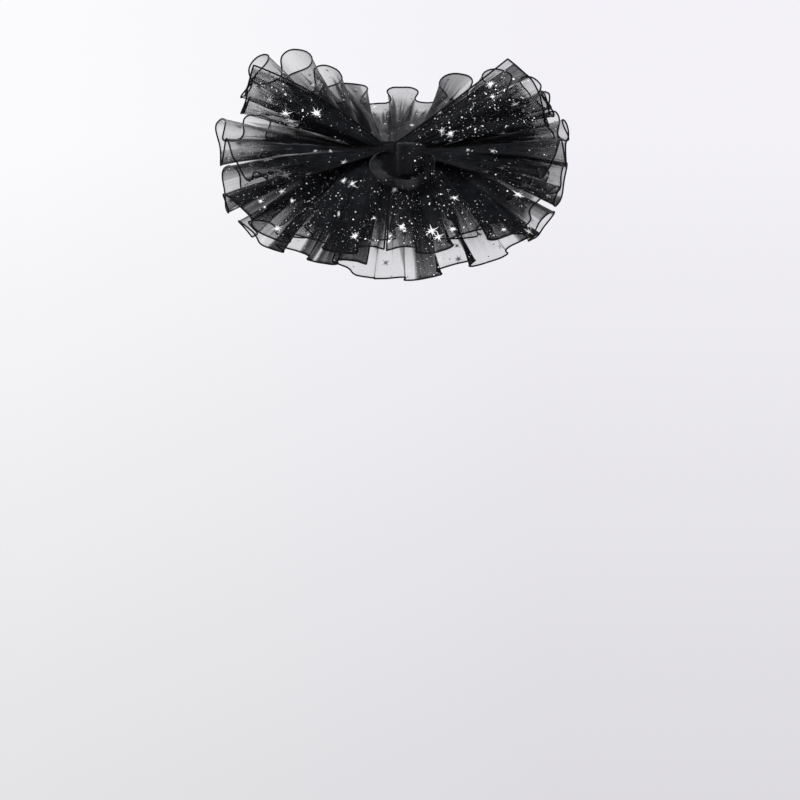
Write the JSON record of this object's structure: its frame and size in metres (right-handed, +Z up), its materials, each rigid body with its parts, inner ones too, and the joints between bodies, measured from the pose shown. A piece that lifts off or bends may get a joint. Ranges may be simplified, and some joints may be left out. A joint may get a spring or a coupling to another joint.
{
  "type": "ruff collar",
  "caption": "Worn ruff collar of sheer star-dotted cloth: gathered frills on a neck band, open at the front, with a rolled front loop.",
  "frame": {"origin": "middle of the neck seam, where the wearer's neck passes through the band", "axes": "+X to the right of someone who faces the collar, -Y its front, +Z up"},
  "size_m": [0.4759, 0.4014, 0.3325],
  "materials": {
    "sheer_cloth": "sheer black organza with a soft sheen",
    "band_cloth": "matte black ribbon",
    "rolled_hem": "black overlocked rolled hem",
    "foil_print": "silver foil dots and stars"
  },
  "bodies": {
    "root": {"frill_top": "sheer_cloth", "frill_upper": "sheer_cloth", "frill_lower": "sheer_cloth", "frill_bottom": "sheer_cloth", "front_loop": "sheer_cloth", "front_fold": "sheer_cloth", "neck_band": "band_cloth"}
  },
  "joints": []
}
